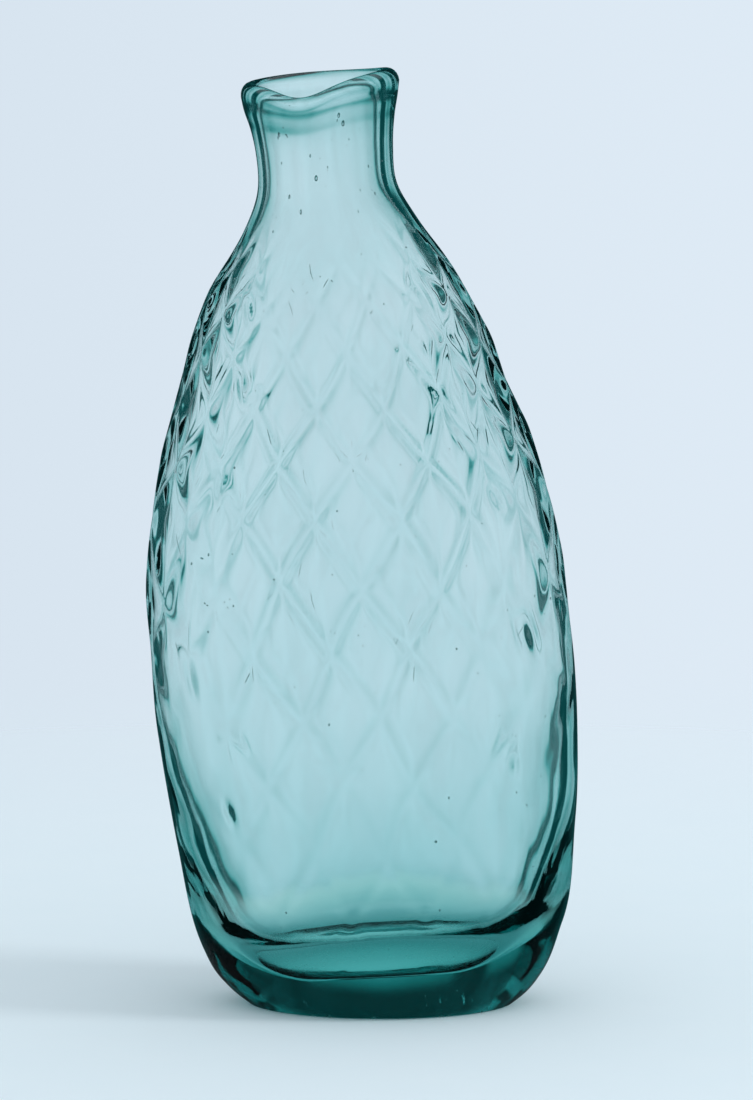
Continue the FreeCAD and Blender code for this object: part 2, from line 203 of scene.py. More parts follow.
# %% Levels and heights of the ridges
DIAMONDS = 16
TURN = -0.09
CROSSINGS = np.array([
    10.4, 21.0, 33.5, 46.1, 58.6, 71.1, 83.1, 97.1, 108.1, 118.3, 127.9, 136.6, 144.3, 151.8,
])
LEVELS = np.arange(len(CROSSINGS), dtype=float)
RIDGES = np.array([
    # height, ridge at the sides, ridge on the faces
    (0.0, 0.0, 0.0),
    (10.4, 0.0, 0.0),
    (25.0, 0.03, 0.12),
    (45.0, 0.05, 0.3),
    (65.0, 0.15, 0.47),
    (80.0, 0.32, 0.56),
    (95.0, 0.44, 0.6),
    (118.0, 0.5, 0.52),
    (134.0, 0.44, 0.27),
    (146.0, 0.16, 0.05),
    (152.0, 0.0, 0.0),
])
side_ridge, face_ridge = (curve_through(RIDGES[:, 0], RIDGES[:, column]) for column in (1, 2))


def angles_round(columns):
    """Angles of evenly spread columns; the first one lies on a crossing of the ridges."""
    turn = np.arange(columns) / columns * DIAMONDS
    return (turn - DIAMONDS / 4 - TURN)[None, :] * 2 * math.pi / DIAMONDS


print("Lattice:", DIAMONDS, "diamonds round,", len(CROSSINGS), "levels of crossings")

# %% Height of the lattice over the skin
RIDGE_BREADTH = 0.095
SIDE_BREADTH = 0.22
FACE_TO_SIDE = (0.45, 0.85)
BACK_TO_FRONT = (-0.25, 0.25)
BACK_SHARE = 0.45
DISH_SHARE = 0.25
KNOT_SHARE = 0.3
UNEVEN_RIDGES = 0.16


def lattice(turn, level, height, angle):
    """Height in mm of the ridges over the skin, at a place counted in diamonds round and levels up."""
    total = 0.0
    both = 1.0
    edge = rise(np.abs(np.cos(angle)), *FACE_TO_SIDE)
    breadth = RIDGE_BREADTH + (SIDE_BREADTH - RIDGE_BREADTH) * edge
    for way in (1, -1):
        share = (turn + way * level / 2) % 1
        nearest = np.minimum(share, 1 - share)
        crest = np.exp(-(nearest / breadth) ** 2)
        ridge = (1 - DISH_SHARE) * crest + DISH_SHARE * np.cos(math.pi * nearest) ** 2
        total = np.maximum(total, ridge)
        both = both * ridge
    in_front = rise(-np.sin(angle), *BACK_TO_FRONT)
    face = face_ridge(height) * (BACK_SHARE + (1 - BACK_SHARE) * in_front)
    strength = face + (side_ridge(height) - face) * edge
    strength = strength * (1 + UNEVEN_RIDGES * ridge_strength(height, angle))
    return strength * (total + KNOT_SHARE * both - DISH_SHARE)


print("Ridges: half breadth", RIDGE_BREADTH, "of a diamond on the faces,", SIDE_BREADTH, "at the sides")

# %% [markdown]
# ## Marks of the hand
# Where a ridge folded over, or a tool touched the soft glass, a small oval lump is left. Each mark has a
# place on the front (across and up, in mm), a half breadth, a half length and a lean. Seen from the front a
# lump works as a tiny strong lens, so it shows as a dark oval. The same lumps are put on the back, mirrored,
# because a hand does not favour one side.

# %% Lumps on the outside
LUMPS = [
    # across, up, half breadth, half length, lean
    (-21.5, 136.6, 0.8, 2.6, 0.0),
    (-22.8, 121.8, 0.7, 2.4, 0.0),
    (-19.6, 121.6, 0.6, 1.2, 0.0),
    (11.6, 136.0, 0.9, 3.4, 0.5),
    (14.2, 118.6, 0.7, 3.0, 0.7),
    (-32.2, 66.6, 0.8, 3.4, 0.1),
    (-25.2, 42.0, 0.6, 2.2, 0.3),
    (28.6, 47.0, 0.6, 1.6, 0.0),
    (31.8, 71.0, 0.9, 3.8, 0.15),
    (-26.8, 104.0, 0.8, 2.4, -0.4),
    (25.0, 98.0, 0.7, 2.6, 0.5),
]
LUMP_HEIGHT = 0.5
LUMPS_START = 0.2


def lumps(height, angle):
    """Height in mm of the lumps over the skin."""
    across = middle_at(height) + width_at(height) / 2 * np.cos(angle)
    total = 0.0
    for side in (-1, 1):
        this_side = rise(side * np.sin(angle), 0, LUMPS_START)
        for x, z, breadth, length, lean in LUMPS:
            off_x = -side * (across - middle_at(height)) - (x - middle_at(z))
            off_z = height - z
            along = (off_z - lean * off_x) / length / math.hypot(1, lean)
            beside = (off_x + lean * off_z) / breadth / math.hypot(1, lean)
            total = total + this_side * np.exp(-along ** 2 - beside ** 2)
    return LUMP_HEIGHT * total


print("Lumps:", len(LUMPS), "on each side")

# %% [markdown]
# ## The wall
# The first gather lines the second, and at the heel both are heavy. So the wall is thin on the shoulder,
# thickens on the way down to a heavy floor with a round corner, and thickens again at the lip. The sides
# are blown thinner than the faces, and the lip is thicker on its right side. A shell of one thickness would
# be quicker to make, but its colour would be the same all over.

# %% Ovals of the inside
WALL = np.array([
    # height, thickness
    (0.0, 9.0),
    (14.0, 8.0),
    (22.0, 6.4),
    (31.0, 4.6),
    (42.0, 3.6),
    (65.0, 2.8),
    (100.0, 2.3),
    (130.0, 1.9),
    (150.0, 2.0),
    (163.5, 2.5),
    (167.0, 2.75),
    (170.0, 3.15),
    (173.0, 3.75),
    (175.6, 4.5),
])
wall_at = curve_through(WALL[:, 0], WALL[:, 1])
FLOOR = 8.2
CORNER = 12.0
SQUARE_FLOOR = 0.65
OVAL_FROM = FLOOR + 30.0
LOW_SIDE = 0.02
HIGH_SIDE = -0.24
SIDES_THIN = (38.0, 68.0)
SIDES_EVEN = (135.0, 155.0)
LIP_SIDE = -0.5
LIP_SHIFT = 0.3
TO_LIP = (148.0, 172.0)


def inside_oval(height, angle):
    """Points in mm of the cavity's wall, before its own swelling."""
    slope = (width_at(height + 0.5) - width_at(height - 0.5)) / 2
    wall = wall_at(height) * np.sqrt(1 + slope ** 2)
    into_corner = np.clip((FLOOR + CORNER - height) / CORNER, 0, 1)
    wall = wall + CORNER * (1 - np.sqrt(np.clip(1 - into_corner ** 2, 0, 1)))
    share = LOW_SIDE + (HIGH_SIDE - LOW_SIDE) * rise(height, *SIDES_THIN)
    side = wall + share * wall_at(height) * (1 - rise(height, *SIDES_EVEN))
    side = side + LIP_SIDE * rise(height, *TO_LIP)
    middle = middle_at(height) - LIP_SHIFT * rise(height, *TO_LIP)
    round_share = SQUARE_FLOOR + (1 - SQUARE_FLOOR) * rise(height, FLOOR, OVAL_FROM)
    width = width_at(height) - 2 * side
    depth = depth_at(height) - 2 * wall
    return on_oval(height, angle, width, depth, middle, round_share)


print("Wall:", WALL[:, 1].min(), "to", WALL[:, 1].max(), "mm, floor", FLOOR, "mm")

# %% [markdown]
# ## One skin of glass, from the foot up
# Where two gathers of the same hot glass meet, no surface is left between them. So the whole flask is one
# closed skin: from the middle of the foot out over the heel, up the body, round the lip and down the inside
# to the floor. It is built as rings of points. The first rings are the underside, where an iron held the
# flask while the lip was worked; it was cracked off and left a torn ring in a shallow hollow. The hollow
# could be cut out of a solid, but rings keep the skin even and closed.

# %% Rings of the foot
COLUMNS = 128
angles = angles_round(COLUMNS)
FOOT_MIDDLE = OUTSIDE[0, 1]
FOOT_INSET = 1.6
KICK_WIDTH = 22.0
KICK_HEIGHT = 2.5
KICK_ROUND = 1.6
SCAR_RADIUS = 6.0
SCAR_BREADTH = 0.62
SCAR_WOBBLE = 0.35
SCAR_STAND = 0.4
TORN_SHARE = 0.5
TORN_WAVE = 0.2
LEAST_HOLLOW = 0.15
torn_edge = waves(9, 8, 40, 31)


def foot_rings():
    """The underside: a shallow hollow, the torn ring the iron left in it, and the flat that it stands on."""
    radius = np.concatenate([
        np.linspace(0.4, 4.4, 6),
        np.linspace(4.8, 7.4, 14),
        np.linspace(8.0, 11.4, 9),
    ])[:, None]
    hollow = KICK_HEIGHT * np.clip(1 - (radius / (KICK_WIDTH / 2)) ** 2, 0, 1) ** KICK_ROUND
    torn = TORN_SHARE + TORN_WAVE * torn_edge(radius * 3, angles)
    off_ring = radius - SCAR_RADIUS - SCAR_WOBBLE * np.sin(3 * angles)
    ring = np.exp(-(off_ring / SCAR_BREADTH) ** 2)
    height = np.maximum(hollow - SCAR_STAND * ring * np.clip(torn, 0, 1.1), LEAST_HOLLOW * hollow)
    across = FOOT_MIDDLE + radius * np.cos(angles)
    inner = np.stack(np.broadcast_arrays(across, radius * np.sin(angles), height), axis=-1)
    edge = on_oval(np.zeros((1, 1)), angles, OUTSIDE[0, 2] - FOOT_INSET, OUTSIDE[0, 3] - FOOT_INSET)
    share = np.linspace(0, 1, 6)[1:, None, None]
    flat = inner[-1:] * (1 - share) + edge * share
    flat[..., 2] = 0.0
    return np.concatenate([inner, flat])


foot = foot_rings()
print("Foot:", len(foot), "rings, hollow", round(float(foot[..., 2].max()), 2), "mm deep")

# %% [markdown]
# ## The outside
# On the body, the rows and columns of the mesh follow the wandering ridges, so that each ridge runs along
# corners of the mesh and stays crisp. An even grid would need far more points to show the same ridge. The
# plain heel and neck need only a third of the columns. The rings are then moved along the skin's own normal
# to add the ridges, the lumps and a slow sway.

# %% Plain rings of heel and neck
SWAY = 0.12
SWAY_STARTS = (4.0, 18.0)
SWAY_ENDS = (168.0, 177.0)
FOOT_ROUND = 0.9
outer_sway = waves(14, 4, 45, 23)


def along_normals(points, move):
    """Move a sheet of rings along its outward normals by a distance at each point."""
    up = np.gradient(points, axis=0)
    around = np.roll(points, -1, axis=1) - np.roll(points, 1, axis=1)
    normal = np.cross(around, up)
    normal /= np.linalg.norm(normal, axis=-1, keepdims=True) + 1e-12
    return points + normal * move[..., None]


def sway(height, angle):
    """Slow waves of the hand-worked outside in mm, none at the foot and the lip."""
    there = rise(height, *SWAY_STARTS) * (1 - rise(height, *SWAY_ENDS))
    return SWAY * there * outer_sway(height, angle)


def plain_rings(heights):
    """Rings of the outside where it has no lattice."""
    points = on_oval(heights, angles, width_at(heights), depth_at(heights))
    return along_normals(points, sway(heights, angles))


heel = plain_rings(np.concatenate([
    FOOT_ROUND * (1 - np.cos(np.linspace(0.35, math.pi / 2, 5))),
    np.linspace(1.5, 9.8, 15),
])[:, None])
neck = plain_rings(np.linspace(152.8, LIP_HEIGHT, 26)[:, None])
print("Plain rings:", len(heel), "on the heel,", len(neck), "on the neck")

# %% Rings of the lattice
FINER = 3
LEVEL_ROWS = 12
WANDER_ROUND = 0.06
LOOSE_AFTER = 2


def lattice_rings():
    """Rings of the outside that follow the levels of the lattice, ridges raised."""
    level = np.linspace(0, LEVELS[-1], LEVEL_ROWS * (len(LEVELS) - 1) + 1)[:, None]
    turn = (np.arange(COLUMNS * FINER) / (COLUMNS * FINER) * DIAMONDS)[None, :]
    straight = curve_through(LEVELS, CROSSINGS)(level)
    angle = angles_round(COLUMNS * FINER)
    loose = rise(level, 0, LOOSE_AFTER) * rise(LEVELS[-1] - level, 0, LOOSE_AFTER)
    height = straight - loose * wander_up(straight, angle)
    angle = angle - loose * WANDER_ROUND * wander_round(straight, angle) * 2 * math.pi / DIAMONDS
    points = on_oval(height, angle, width_at(height), depth_at(height))
    ridges = lattice(turn, level, height, angle)
    print("Ridges: up to", round(float(ridges.max()), 2), "mm high")
    return along_normals(points, ridges + lumps(height, angle) + sway(height, angle))


body = lattice_rings()
print("Lattice rings:", len(body), "of", COLUMNS * FINER, "points")

# %% [markdown]
# ## The inside
# The inside is not a copy of the outside: it was only ever shaped by breath, so it is smooth and swells a
# little here and there. That uneven wall is what makes old glass look watery. The floor is a low dome, left
# where the heavy glass settled last.

# %% Rings of the inside
SWELL = 0.14
FINE_SWELL = 0.03
SWELL_STARTS = (FLOOR + 4.0, FLOOR + 24.0)
SWELL_ENDS = (140.0, 156.0)
FLOOR_DOME = 0.5
swell = waves(14, 4, 50, 21)
swell_fine = waves(18, 9, 22, 22)

inside_heights = np.concatenate([
    np.linspace(LIP_HEIGHT, 162.0, 28),
    np.linspace(161.0, 150.0, 10),
    np.linspace(148.5, FLOOR + CORNER, 64),
    FLOOR + CORNER * (1 - np.sin(np.linspace(0, math.pi / 2, 14)))[1:],
])[:, None]
loose = rise(inside_heights, *SWELL_STARTS) * (1 - rise(inside_heights, *SWELL_ENDS))
bulge = SWELL * swell(inside_heights, angles) + FINE_SWELL * swell_fine(inside_heights, angles)
inside = along_normals(inside_oval(inside_heights, angles), loose * bulge)

floor_share = np.linspace(1, 0, 9)[1:-1, None, None]
floor_middle = inside[-1].mean(axis=0)
floor = floor_middle + (inside[-1] - floor_middle) * floor_share
floor[..., 2] += FLOOR_DOME * (1 - floor_share[..., 0] ** 2)
print("Inside rings:", len(inside) + len(floor))

# %% [markdown]
# ## The rim
# The sheared edge was held in the fire until it went soft and drew itself round. So the rim is half a ring
# of rounded glass between the neck's last oval and the inside's first. A bevel would give it one even
# height; here the height wavers a little, as a fire-polished edge does.

# %% Rings of the rim
RIM_HEIGHT = 2.3
UNEVEN_RIM = 0.15
rim_wave = waves(5, 3, 400, 33)

rim_lean = math.radians(LEAN + LIP_TIP)
rim_up = np.array([-math.sin(rim_lean), 0.0, math.cos(rim_lean)])
rim_wall = neck[-1] - inside[0]
rim_middle = (neck[-1] + inside[0]) / 2
rim_turn = np.linspace(0, math.pi, 12)[1:-1, None, None]
uneven = 1 + UNEVEN_RIM * rim_wave(np.zeros((1, 1)), angles)[..., None]
rim = rim_middle + rim_wall / 2 * np.cos(rim_turn) + rim_up * RIM_HEIGHT * uneven * np.sin(rim_turn)
print("Rim: wall about", round(float(np.linalg.norm(rim_wall, axis=-1).mean()), 2), "mm")

# %% [markdown]
# ## Seeds
# Antique glass was never fully melted clear, so tiny gas bubbles, called seeds, hang in the wall. A seed is
# an empty place in the glass, so it is a closed skin turned inside out: seen from the glass, it is the way
# out. In the neck they were drawn long by the blower's pull, on the shoulder some became fine threads, and
# in the heavy base they stayed round. Specks painted on the skin would be cheaper, but would not lie at
# different depths. Their places are drawn at random from a fixed start.

# %% Scatter the seeds through the wall
SEEDS = {"neck": (50, 150.0, 172.0), "body": (110, 16.0, 146.0), "base": (90, 3.0, 6.2)}
SMALLEST_SEED = 0.06
SEED_SPREAD = 0.06
LARGEST_SEED = 0.32
SEED_DEPTH = (0.35, 0.65)
BASE_SEED_SHARE = 0.7
BASE_REACH = (0.3, 1.15)
BODY_PULL = (0.9, 1.6)
NECK_PULL = 2.2
rng = np.random.default_rng(7)


def lie_in_wall(height, angle, depth_share):
    """A point in the wall: 0 on the outside, 1 on the inside."""
    outer = on_oval(height, angle, width_at(height), depth_at(height))
    wall = wall_at(height) * 2
    inner = on_oval(height, angle, width_at(height) - wall, depth_at(height) - wall)
    return outer * (1 - depth_share) + inner * depth_share


def seed_places():
    """Middles in mm, half-sizes in mm and the long way of every seed."""
    for name, (count, low, high) in SEEDS.items():
        for _ in range(count):
            height = rng.uniform(low, high)
            angle = rng.uniform(0, 2 * math.pi)
            size = min(SMALLEST_SEED + SEED_SPREAD * rng.exponential(1.0), LARGEST_SEED)
            if name == "base":
                size = size * BASE_SEED_SHARE
                reach = math.sqrt(rng.uniform(*BASE_REACH))
                place = on_oval(0.0, angle, OUTSIDE[0, 2] * reach, OUTSIDE[0, 3] * reach)
                yield place + (0, 0, height), size, (0, 0, size)
            else:
                long = size * (NECK_PULL if name == "neck" else rng.uniform(*BODY_PULL))
                yield lie_in_wall(height, angle, rng.uniform(*SEED_DEPTH)), size, (0, 0, long)


seeds = list(seed_places())
print("Seeds:", len(seeds))

# %% Draw some seeds out to threads
THREADS = 46
THREAD_LEVELS = (62.0, 142.0)
THREAD_DEPTH = (0.3, 0.6)
THREAD_REACH = (0.5, 2.0)
THREAD_DRIFT = 0.012
THREAD_SIZE = (0.05, 0.11)


def thread_places():
    """Seeds drawn out to threads that lie along the wall, some straight up and some askew."""
    for _ in range(THREADS):
        height = rng.uniform(*THREAD_LEVELS)
        angle = rng.uniform(0, 2 * math.pi)
        depth = rng.uniform(*THREAD_DEPTH)
        reach = rng.uniform(*THREAD_REACH)
        drift = rng.normal(0, THREAD_DRIFT)
        ends = [lie_in_wall(height + way * reach, angle + way * drift, depth) for way in (-1, 1)]
        yield (ends[0] + ends[1]) / 2, rng.uniform(*THREAD_SIZE), (ends[1] - ends[0]) / 2


seeds += list(thread_places())
print("Seeds and threads:", len(seeds))

# %% [markdown]
# ## The mesh
# The sheets of rings are now joined to one closed mesh. Two neighbouring rings get a band of faces between
# them, also where one has three times as many points as the other, and each end is closed by a fan of
# triangles. The seeds go into the same mesh, so that the glass knows them as holes in its inside.

# %% Faces between rings
def between(low, high):
    """Faces between two rings of points; one may have a few times as many points as the other."""
    count = min(len(low), len(high))
    lower = len(low) // count
    upper = len(high) // count
    faces = []
    for place in range(count):
        under = [low[(place * lower + turn) % len(low)] for turn in range(lower + 1)]
        over = [high[(place * upper + turn) % len(high)] for turn in range(upper + 1)]
        faces.append(under + over[::-1])
    return faces


def ball():
    """Points and triangles of a small round ball, turned inside out."""
    built = bmesh.new()
    bmesh.ops.create_icosphere(built, subdivisions=2, radius=1.0)
    points = np.array([vert.co for vert in built.verts])
    faces = np.array([[vert.index for vert in reversed(face.verts)] for face in built.faces])
    built.free()
    return points, faces


ball_points, ball_faces = ball()
print("Seed:", len(ball_faces), "triangles each")

# %% Build the flask's mesh
SEED_DENT = 0.08


def skin_mesh(name, sheets):
    """A closed mesh over sheets of rings, with a fan of triangles at each end, seeds included."""
    rings = [ring for sheet in sheets for ring in sheet]
    starts = np.cumsum([0] + [len(ring) for ring in rings]).tolist()
    index = [list(range(start, start + len(ring))) for start, ring in zip(starts, rings)]
    faces = [face for low, high in zip(index[:-1], index[1:]) for face in between(low, high)]
    points = rings + [rings[0].mean(axis=0, keepdims=True), rings[-1].mean(axis=0, keepdims=True)]
    count = starts[-1]
    faces += [(count, b, a) for a, b in zip(index[0], index[0][1:] + index[0][:1])]
    faces += [(count + 1, a, b) for a, b in zip(index[-1], index[-1][1:] + index[-1][:1])]
    count += 2
    dented = 1 + SEED_DENT * np.sin(5 * ball_points[:, :1] + 3 * ball_points[:, 2:])
    for place, size, long in seeds:
        across = ball_points * dented * (size, size, 0)
        points.append(place + across + ball_points[:, 2:] * long)
        faces += (ball_faces + count).tolist()
        count += len(ball_points)
    mesh = bpy.data.meshes.new(name)
    mesh.from_pydata((np.concatenate(points) * MM).tolist(), [], faces)
    mesh.shade_smooth()
    return mesh


flask = bpy.data.objects.new("flask", skin_mesh("flask", [foot, heel, body, neck, rim, inside, floor]))
bpy.context.scene.collection.objects.link(flask)
print("Flask:", sum(len(face.vertices) - 2 for face in flask.data.polygons), "triangles")

# %% [markdown]
# ## Small tools for nodes
# Materials and the world are trees of nodes. Adding each node, setting its values and linking it takes many
# lines, so a few helpers do it: one makes a node and feeds its sockets, the others give a calculation, a
# smooth step and a mix of two colours. They only save writing; the trees look the same in the node editor.

# %% Helpers for nodes
def feed(tree, socket, value):
    """Link an output to a socket, or set a plain value on it."""
    if isinstance(value, bpy.types.NodeSocket):
        tree.links.new(value, socket)
    elif socket.type == "RGBA":
        socket.default_value = (*value, 1.0)
    else:
        socket.default_value = value


def node(tree, kind, sockets=None, **settings):
    """A new node with its settings, and its sockets fed by name or by number."""
    made = tree.nodes.new(kind)
    for name, value in settings.items():
        setattr(made, name, value)
    for name, value in (sockets or {}).items():
        feed(tree, made.inputs[name], value)
    return made


def maths(tree, operation, *values):
    """A sum, a product or another calculation with a few values."""
    return node(tree, "ShaderNodeMath", dict(enumerate(values)), operation=operation).outputs["Value"]


def step(tree, value, low, high, start=0.0, end=1.0):
    """A smooth change from a start to an end while a value goes from low to high."""
    sockets = {"Value": value, "From Min": low, "From Max": high, "To Min": start, "To Max": end}
    return node(tree, "ShaderNodeMapRange", sockets, interpolation_type="SMOOTHSTEP").outputs["Result"]


def mixed(tree, share, first, second):
    """Two colours mixed by a share."""
    sockets = {"Factor": share, "A": first, "B": second}
    return node(tree, "ShaderNodeMix", sockets, data_type="RGBA").outputs["Result"]


print("Helpers for nodes: feed, node, maths, step, mixed")

# %% [markdown]
# ## Drawn streaks and wear
# Tools and the turning of the iron draw fine upright streaks into the soft skin, and standing on tables
# dulls the foot. Both depend only on the place on the flask, so one node group gives them: noise that is
# drawn out upwards for the streaks, and patches of roughness within two millimetres of the table. Painted
# textures could show them too, but noise needs no unwrapping and stays sharp at any distance.

# %% Streaks as a node group
STREAKS = {"Streak scale": 90.0, "Drawn out": 0.18, "Wear height": 0.0022}
STREAK_DETAIL = 3.0
SCUFF_SCALE = 420.0
WORN_ROUGHNESS = 0.5


def streaks_group():
    """Drawn streaks and a worn foot: a bump height and a roughness, both from the place on the piece."""
    group = bpy.data.node_groups.new("drawn_streaks", "ShaderNodeTree")
    socket = group.interface.new_socket
    for name, value in STREAKS.items():
        socket(name, in_out="INPUT", socket_type="NodeSocketFloat").default_value = value
    for name in ("Height", "Roughness"):
        socket(name, in_out="OUTPUT", socket_type="NodeSocketFloat")
    given = group.nodes.new("NodeGroupInput").outputs
    place = group.nodes.new("ShaderNodeTexCoord").outputs["Object"]
    stretch = node(group, "ShaderNodeCombineXYZ", {"X": 1.0, "Y": 1.0, "Z": given["Drawn out"]})
    drawn = node(group, "ShaderNodeVectorMath", {0: place, 1: stretch.outputs[0]}, operation="MULTIPLY")
    streak = node(group, "ShaderNodeTexNoise", {
        "Vector": drawn.outputs["Vector"], "Scale": given["Streak scale"], "Detail": STREAK_DETAIL})
    height = node(group, "ShaderNodeSeparateXYZ", {"Vector": place}).outputs["Z"]
    worn = node(group, "ShaderNodeMapRange", {
        "Value": height, "From Min": 0.0, "From Max": given["Wear height"],
        "To Min": WORN_ROUGHNESS, "To Max": 0.0})
    scuff = node(group, "ShaderNodeTexNoise", {"Vector": place, "Scale": SCUFF_SCALE})
    worn_patches = maths(group, "MULTIPLY", worn.outputs["Result"], scuff.outputs["Fac"])
    node(group, "NodeGroupOutput", {"Height": streak.outputs["Fac"], "Roughness": worn_patches})
    return group


drawn_streaks = streaks_group()
print("Streaks:", len(drawn_streaks.nodes), "nodes")

# %% [markdown]
# ## The glass
# Iron in the sand makes the glass aqua: it takes red light out of everything that passes, a little more
# with every millimetre. So the colour is not painted on. The surface is clear, and the inside of the solid
# absorbs, which leaves thin walls pale and turns the heavy heel deep green by itself. A coloured surface
# would be quicker to render, but thick and thin places would look alike.

# %% Glass material
ABSORB_COLOUR = (0.05, 0.68, 0.67)
ABSORB_DENSITY = 74.0
GLASS_BEND = 1.5
STREAK_STRENGTH = 0.10
STREAK_DEPTH = 0.001


def glass_material():
    """Clear skin with drawn streaks, and a solid inside that absorbs red."""
    material = bpy.data.materials.new("aqua_glass")
    material.use_nodes = True
    tree = material.node_tree
    streaks = node(tree, "ShaderNodeGroup", node_tree=drawn_streaks)
    bump = node(tree, "ShaderNodeBump", {
        "Strength": STREAK_STRENGTH, "Distance": STREAK_DEPTH, "Height": streaks.outputs["Height"]})
    glass = tree.nodes["Principled BSDF"]
    feed(tree, glass.inputs["Base Color"], (1.0, 1.0, 1.0))
    feed(tree, glass.inputs["Transmission Weight"], 1.0)
    feed(tree, glass.inputs["IOR"], GLASS_BEND)
    feed(tree, glass.inputs["Normal"], bump.outputs["Normal"])
    feed(tree, glass.inputs["Roughness"], streaks.outputs["Roughness"])
    absorb = node(tree, "ShaderNodeVolumeAbsorption", {"Color": ABSORB_COLOUR, "Density": ABSORB_DENSITY})
    feed(tree, tree.nodes["Material Output"].inputs["Volume"], absorb.outputs["Volume"])
    return material


aqua_glass = glass_material()
flask.data.materials.append(aqua_glass)
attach(flask, "root")
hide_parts("inner_post", "diamond_half_post", "pontil_scar")
print("Glass: absorbs", ABSORB_DENSITY, "per metre at most")

# %% [markdown]
# ## The table
# The flask stands on a flat, pale table that keeps its soft shadow. A round top is enough, because its edge
# fades away before it can be seen. It lies a tenth of a millimetre under the foot, so that glass and table
# never share one surface.

# %% Table top
TABLE_RADIUS = 0.5
TABLE_SIDES = 96
TABLE_GAP = 0.1 * MM


def table_top():
    """A round table top just under the foot."""
    mesh = bpy.data.meshes.new("table")
    built = bmesh.new()
    bmesh.ops.create_circle(built, cap_ends=True, segments=TABLE_SIDES, radius=TABLE_RADIUS)
    built.to_mesh(mesh)
    built.free()
    piece = bpy.data.objects.new("table", mesh)
    piece.location.z = -TABLE_GAP
    bpy.context.scene.collection.objects.link(piece)
    return piece


table = table_top()
print("Table: radius", TABLE_RADIUS, "m")

# %% [markdown]
# ## Light under the foot
# Under a heavy glass foot the light gathers and turns teal. Tracing that light through the foot would take
# very long and stay grainy, so the table gives off the gathered light itself, only for rays that come
# through the glass: teal under the middle, dim at the foot's edge and paler further out. A colour ramp over
# the distance from the foot's middle holds these tones.

# %% Gathered light
POOL_REACH = 3.0
POOL = (
    (0.10, (0.33, 0.66, 0.68)),
    (0.22, (0.22, 0.52, 0.54)),
    (0.32, (0.10, 0.29, 0.31)),
    (0.60, (0.48, 0.65, 0.71)),
    (1.0, (0.58, 0.71, 0.79)),
)


def gathered_light(tree, place):
    """Light by the distance from the foot's middle, counted in half-widths of the foot."""
    oval = node(tree, "ShaderNodeVectorMath", {
        0: place,
        1: (2 / OUTSIDE[0, 2] / MM, 2 / OUTSIDE[0, 3] / MM, 0.0),
        2: (-2 * FOOT_MIDDLE / OUTSIDE[0, 2], 0.0, 0.0),
    }, operation="MULTIPLY_ADD")
    from_foot = node(tree, "ShaderNodeVectorMath", {0: oval.outputs["Vector"]}, operation="LENGTH")
    share = maths(tree, "DIVIDE", from_foot.outputs["Value"], POOL_REACH)
    tones = node(tree, "ShaderNodeValToRGB", {"Fac": share})
    ramp = tones.color_ramp
    ramp.interpolation = "B_SPLINE"
    for at, tone in POOL:
        stop = ramp.elements.new(at)
        stop.color = (*tone, 1.0)
    ramp.elements.remove(ramp.elements[-1])
    ramp.elements.remove(ramp.elements[0])
    return node(tree, "ShaderNodeEmission", {"Color": tones.outputs["Color"]}).outputs["Emission"]


print("Gathered light:", len(POOL), "tones out to", POOL_REACH, "half-widths of the foot")

# %% [markdown]
# ## The paper
# The table is covered with pale, slightly fibrous paper that fades into the sweep behind, as a sheet that
# curves up out of sight does. A real curved sheet would need light of its own; fading the table to clear
# gives the same soft end. In mirrored rays the paper is kept dark, so that it does not veil the glass. The
# depths of a light path count bounces, so half of one is the limit between none and some.

# %% Paper material
PAPER = ((0.79, 0.90, 0.965), (0.81, 0.91, 0.97))
PAPER_MIRRORED = (0.08, 0.09, 0.1)
PAPER_ROUGHNESS = 0.9
PAPER_SHINE = 0.1
FIBRE_SCALE = 60.0
FADE_IN_GLASS = (0.03, 0.07)
FADE_FOR_CAMERA = (0.12, 0.40)
A_BOUNCE = 0.5


def paper_material():
    """Pale fibrous paper that fades out, and gives gathered light to rays through the glass."""
    material = bpy.data.materials.new("pale_paper")
    material.use_nodes = True
    tree = material.node_tree
    place = tree.nodes.new("ShaderNodeTexCoord").outputs["Object"]
    path = tree.nodes.new("ShaderNodeLightPath").outputs
    fibre = node(tree, "ShaderNodeTexNoise", {"Vector": place, "Scale": FIBRE_SCALE})
    tone = mixed(tree, fibre.outputs["Fac"], *PAPER)
    paper = tree.nodes["Principled BSDF"]
    feed(tree, paper.inputs["Roughness"], PAPER_ROUGHNESS)
    feed(tree, paper.inputs["Specular IOR Level"], PAPER_SHINE)
    feed(tree, paper.inputs["Base Color"], mixed(tree, path["Is Reflection Ray"], tone, PAPER_MIRRORED))
    straight = maths(tree, "LESS_THAN", path["Diffuse Depth"], A_BOUNCE)
    through_glass = maths(tree, "MULTIPLY", path["Is Transmission Ray"], straight)
    seen = node(tree, "ShaderNodeMixShader", {
        "Fac": through_glass, 1: paper.outputs["BSDF"], 2: gathered_light(tree, place)})
    away = node(tree, "ShaderNodeVectorMath", {0: place}, operation="LENGTH").outputs["Value"]
    fade = node(tree, "ShaderNodeMix", {
        "Factor": path["Is Camera Ray"],
        "A": step(tree, away, *FADE_IN_GLASS),
        "B": step(tree, away, *FADE_FOR_CAMERA),
    })
    clear = node(tree, "ShaderNodeBsdfTransparent")
    faded = node(tree, "ShaderNodeMixShader", {
        "Fac": fade.outputs["Result"], 1: seen.outputs["Shader"], 2: clear.outputs["BSDF"]})
    feed(tree, tree.nodes["Material Output"].inputs["Surface"], faded.outputs["Shader"])
    return material


table.data.materials.append(paper_material())
table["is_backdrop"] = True
print("Paper: fades out from", FADE_FOR_CAMERA[0], "to", FADE_FOR_CAMERA[1], "m")

